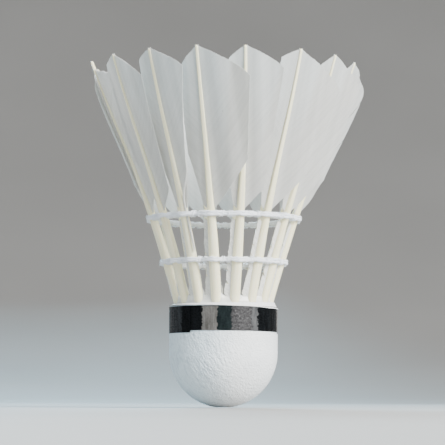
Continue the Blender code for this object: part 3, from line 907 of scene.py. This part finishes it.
def add_wraps(pile, z):
    """Short turns of thread beside each quill that bind the strands tight."""
    angle = np.arange(WRAP_STEPS) * TURN / WRAP_STEPS
    for index in range(FEATHERS):
        for beside in WRAP_PLACES:
            azimuth = leaning(PITCH * (index + 0.5), z) + beside * PITCH
            radial = on_circle(1.0, azimuth, 0.0)
            along = on_circle(1.0, azimuth + math.pi / 2, 0.0)
            corner = 1 / np.maximum(np.abs(np.cos(angle)), np.abs(np.sin(angle))) ** 0.6
            out = np.cos(angle) * corner * WRAP_HALF_DEPTH
            up = np.sin(angle) * corner * WRAP_HALF_HEIGHT
            lean = np.sin(angle) * WRAP_LEAN
            path = on_circle(shaft_radius(z), azimuth, z + up)
            path = path + out[:, None] * radial + lean[:, None] * along
            pile.tube(path, np.full((WRAP_STEPS, WRAP_SIDES), WRAP_RADIUS), WRAP_SIDES, 0.3)


def add_thread(row, z, look):
    """One stitched row: two yarns outside, two inside, and the turns that bind them."""
    chance = random.Random(row)
    for side, label in ((1, "outer"), (-1, "inner")):
        pile = Pile()
        for lift in (YARN_LIFT, -YARN_LIFT):
            path = strand_path(z, side, lift, YARN_RADIUS)
            add_yarn(pile, path, YARN_RADIUS)
            add_fuzz(pile, path, YARN_RADIUS, chance)
        if side == 1:
            add_wraps(pile, z)
        piece(f"thread_{row}_{label}_yarn", pile, look, f"thread_{row}_{label}", 70.0)


# Base

def unmoved(radius, azimuth, height):
    """Leave a turned point where it is."""
    return radius, height


def turned(profile, steps, move=unmoved):
    """Turn (radius, height) points about the axis, moved by a function of radius, azimuth and height."""
    points = np.empty((len(profile), steps, 3))
    for row, (radius, height) in enumerate(profile):
        for column in range(steps):
            azimuth = TURN * column / steps
            new_radius, new_height = move(radius, azimuth, height)
            points[row, column] = on_circle(new_radius, azimuth, new_height)
    arc = np.linspace(0.0, TURN, steps, endpoint=False) * BASE_RADIUS / MM
    steps_down = np.hypot(*np.diff(np.array(profile), axis=0).T)
    length = np.concatenate([[0.0], np.cumsum(steps_down)]) / MM
    return points, np.stack(np.meshgrid(arc, length), axis=-1)


def leather_wrinkle(radius, azimuth, height):
    """Press the skin in along fine creases that run aslant over the dome."""
    if height > CREASE_TOP or radius < CREASE_INNER_RADIUS:
        return radius, height
    x = math.sin(azimuth) * radius / MM
    y = math.cos(azimuth) * radius / MM
    up = height / MM
    fold = noise.noise(Vector(((x + 0.75 * up) * 0.85, y * 0.6, (up - 0.75 * x) * 0.22)))
    crease = max(0.0, 1 - abs(fold + 0.05) / 0.16) ** 2
    fine = noise.noise(Vector((x * 1.9, y * 1.9, up * 1.9)))
    where = 0.5 + 0.9 * noise.noise(Vector((x * 0.14 + 4.0, y * 0.14, up * 0.14))) - 0.03 * x
    depth = MM * (0.12 * max(0.0, fold) + 0.17 * crease)
    press = depth * min(1.0, max(0.15, where)) + 0.06 * MM * abs(fine)
    return radius - press, height + 0.1 * press


def add_leather(look):
    """The leather skin: dome, straight side, the neck under the tape, and its inner face."""
    nose_angle = math.asin(NOSE_FLAT_RADIUS / BASE_RADIUS)

    def dome(depth, angles):
        radius = BASE_RADIUS - depth
        return [(radius * math.sin(angle), BASE_RADIUS - radius * math.cos(angle) / math.cos(nose_angle))
                for angle in angles]

    ring_step = NOSE_FLAT_RADIUS / (NOSE_RINGS + 1)
    outside = [(ring_step * step, 0.0) for step in range(1, NOSE_RINGS + 1)]
    outside += dome(0.0, np.linspace(nose_angle, math.pi / 2, DOME_RINGS))
    outside += [(BASE_RADIUS, BASE_RADIUS + SIDE_HEIGHT * step / SIDE_RINGS)
                for step in range(1, SIDE_RINGS + 1)]
    neck = BASE_RADIUS - TAPE_RECESS
    lip = neck - LEATHER
    outside += [(neck, NECK_FOOT), (neck, BASE_TOP), (lip, BASE_TOP), (lip, NECK_INNER_FOOT)]
    inside = dome(LEATHER, np.linspace(math.pi / 2, nose_angle, LINING_RINGS))
    pile = Pile()
    skin = pile.grid(*turned(outside, SKIN_COLUMNS, leather_wrinkle), wrap_columns=True)
    lining = pile.grid(*turned(inside, SKIN_COLUMNS), wrap_columns=True)
    pile.cap(skin[0][::-1])
    pile.cap(lining[-1])
    pile.stitch(np.append(skin[-1], skin[-1][0]), np.append(lining[0], lining[0][0]))
    piece("leather_skin", pile, look, "leather_cover", 60.0)


def add_tape(look):
    """The foil tape: a crinkled strip, wound a little over one turn, that laps over its start."""
    outer = np.empty((TAPE_STEPS + 1, TAPE_ROWS + 1, 3))
    inner = np.empty_like(outer)
    flat = np.empty((TAPE_STEPS + 1, TAPE_ROWS + 1, 2))
    for step in range(TAPE_STEPS + 1):
        share = step / TAPE_STEPS
        azimuth = TAPE_START + TAPE_SWEEP * share
        radius = BASE_RADIUS - TAPE_DEPTH + TAPE_LAP_RISE * TAPE_SWEEP / TURN * share
        foot = TAPE_FOOT + TAPE_SKEW * (1 - share) + 0.02 * MM * ripple(azimuth * 6.0, 0.0, 5.0)
        for row in range(TAPE_ROWS + 1):
            z = foot + (TAPE_TOP - foot) * row / TAPE_ROWS
            crinkle = 0.022 * ripple(azimuth * 16.0, z * 900.0, share * 2.0)
            crinkle = (crinkle + 0.012 * ripple(azimuth * 50.0, z * 2800.0, share * 6.0)) * MM
            torn = 0.012 * ripple(z * 1500.0, 2.0, 7.0) if step == TAPE_STEPS else 0.0
            outer[step, row] = on_circle(radius + TAPE_THICKNESS + crinkle, azimuth + torn, z)
            inner[step, row] = on_circle(radius + crinkle, azimuth + torn, z)
            flat[step, row] = (azimuth * BASE_RADIUS / MM, z / MM)
    pile = Pile()
    pile.rim(pile.grid(outer, flat), pile.grid(inner, flat))
    piece("foil_tape", pile, look, "foil_band")


def add_collar(look):
    """The ribbon's free edge: flared over the tape, a little wavy, and deeper on the +X side."""
    outer = [(COLLAR_RADIUS + COLLAR_FLARE * share ** 1.5, COLLAR_TOP - COLLAR_DROP * share, share)
             for share in np.linspace(0.0, 1.0, 12)]
    inner = [(radius - COLLAR_THICKNESS, height - 0.02, share) for radius, height, share in outer]
    section = outer + inner[::-1]

    def hang(radius, azimuth, height):
        share = shares[radius, height]
        right = math.sin(azimuth)
        waver = ripple(math.sin(azimuth) * 3.0, math.cos(azimuth) * 3.0, 1.0)
        fray = ripple(azimuth * 40.0, 4.0, 1.0)
        drop = share * (0.40 * right + 0.12 * right ** 2 + 0.08 * waver + 0.05 * fray)
        rise = (1 - share) * 0.45 * max(0.0, right) ** 2
        return radius + 0.05 * MM * waver * share, height + (rise - drop) * MM

    profile = [(radius * MM, height * MM) for radius, height, _ in section]
    shares = {place: share for place, (_, _, share) in zip(profile, section)}
    pile = Pile()
    pile.grid(*turned(profile, COLLAR_STEPS, hang), wrap_rows=True, wrap_columns=True)
    piece("ribbon_edge", pile, look, "collar_ribbon")


def add_glue(look):
    """Glue that fills the ring under the quills and climbs a little up each of them."""

    def climb(radius, azimuth, rise):
        turn = (azimuth - leaning(PITCH / 2, BASE_TOP)) * FEATHERS
        near = (0.5 + 0.5 * math.cos(turn)) ** 2
        lump = ripple(math.sin(azimuth) * 9.0, math.cos(azimuth) * 9.0, 2.0)
        top = (2.3 + 1.2 * near + 0.35 * lump) * rise
        return radius + 0.27 * top, BASE_TOP + 0.02 * MM + top

    profile = [(radius * MM, share * MM) for radius, share in GLUE_SECTION]
    pile = Pile()
    pile.grid(*turned(profile, FEATHERS * GLUE_STEPS_PER_FEATHER, climb), wrap_rows=True, wrap_columns=True)
    piece("glue_bead", pile, look, "glue_ring", 80.0)


# Studio

def add_stage(look):
    """A round floor that sweeps up into a wall."""
    profile = [(radius, -FLOOR_DEPTH) for radius in np.linspace(0.05, FLOOR_RADIUS, 6)]
    for step in range(1, SWEEP_STEPS + 1):
        angle = math.pi / 2 * step / SWEEP_STEPS
        radius = FLOOR_RADIUS + SWEEP_RADIUS * math.sin(angle)
        profile.append((radius, SWEEP_RADIUS - SWEEP_RADIUS * math.cos(angle) - FLOOR_DEPTH))
    profile.append((FLOOR_RADIUS + SWEEP_RADIUS, WALL_TOP))
    pile = Pile()
    numbers = pile.grid(*turned(profile, STAGE_COLUMNS), wrap_columns=True)
    pile.cap(numbers[0][::-1])
    mesh_object("stage", pile, look, 60.0)


def add_light(name, place, size, watts, colour, spread_degrees):
    """A square area light aimed at the middle of the shuttlecock."""
    data = bpy.data.lights.new(name, "AREA")
    data.size = size
    data.spread = math.radians(spread_degrees)
    data.energy = watts
    data.color = colour
    light = bpy.data.objects.new(name, data)
    light.location = place
    aim = Vector((0.0, 0.0, AIM_HEIGHT)) - Vector(place)
    light.rotation_euler = aim.to_track_quat("-Z", "Y").to_euler()
    bpy.context.scene.collection.objects.link(light)


def add_studio():
    """The lights and a pale, even world round them."""
    for name, place, size, watts, colour, spread_degrees in LIGHTS:
        add_light(name, place, size, watts, colour, spread_degrees)
    world = bpy.data.worlds.new("studio")
    world.use_nodes = True
    background = world.node_tree.nodes["Background"]
    background.inputs["Color"].default_value = WORLD_COLOUR
    background.inputs["Strength"].default_value = WORLD_STRENGTH
    bpy.context.scene.world = world


def add_camera():
    """The camera stands low in front and looks slightly up."""
    data = bpy.data.cameras.new("camera")
    data.lens = CAMERA_LENS
    data.sensor_width = 36.0
    data.clip_start = 0.01
    camera = bpy.data.objects.new("camera", data)
    camera.location = CAMERA_PLACE
    tilt = Euler((math.radians(90.0 + CAMERA_PITCH), 0.0, 0.0)).to_matrix()
    roll = Euler((0.0, 0.0, math.radians(CAMERA_ROLL))).to_matrix()
    camera.rotation_euler = (tilt @ roll).to_euler()
    bpy.context.scene.collection.objects.link(camera)
    bpy.context.scene.camera = camera


def paint_cork():
    """Cork for the three layers of the base, whose CAD solids stay as they are."""
    layers = (
        ("cork_nose", 700.0, (0.30, 0.19, 0.10), (0.62, 0.45, 0.28)),
        ("cork_core", 500.0, (0.22, 0.14, 0.08), (0.50, 0.34, 0.20)),
        ("cork_seat", 620.0, (0.26, 0.17, 0.10), (0.56, 0.40, 0.25)),
    )
    for node, grain, dark, light in layers:
        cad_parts[node].material_slots[0].material = cork_look(f"{node}_cork", grain, dark, light)


def main():
    web = web_look()
    quill = quill_look()
    stubs = stub_look()
    thread = thread_look()
    for index in range(FEATHERS):
        feather = Feather(index)
        feather.add_webs(web)
        feather.add_shaft(quill)
        feather.add_stubs(stubs)
    for row, z in THREAD_ROWS.items():
        add_thread(row, z, thread)
    add_leather(leather_look())
    add_tape(foil_look())
    add_collar(ribbon_look())
    add_glue(glue_look())
    paint_cork()
    add_stage(stage_look())
    add_studio()
    add_camera()


main()
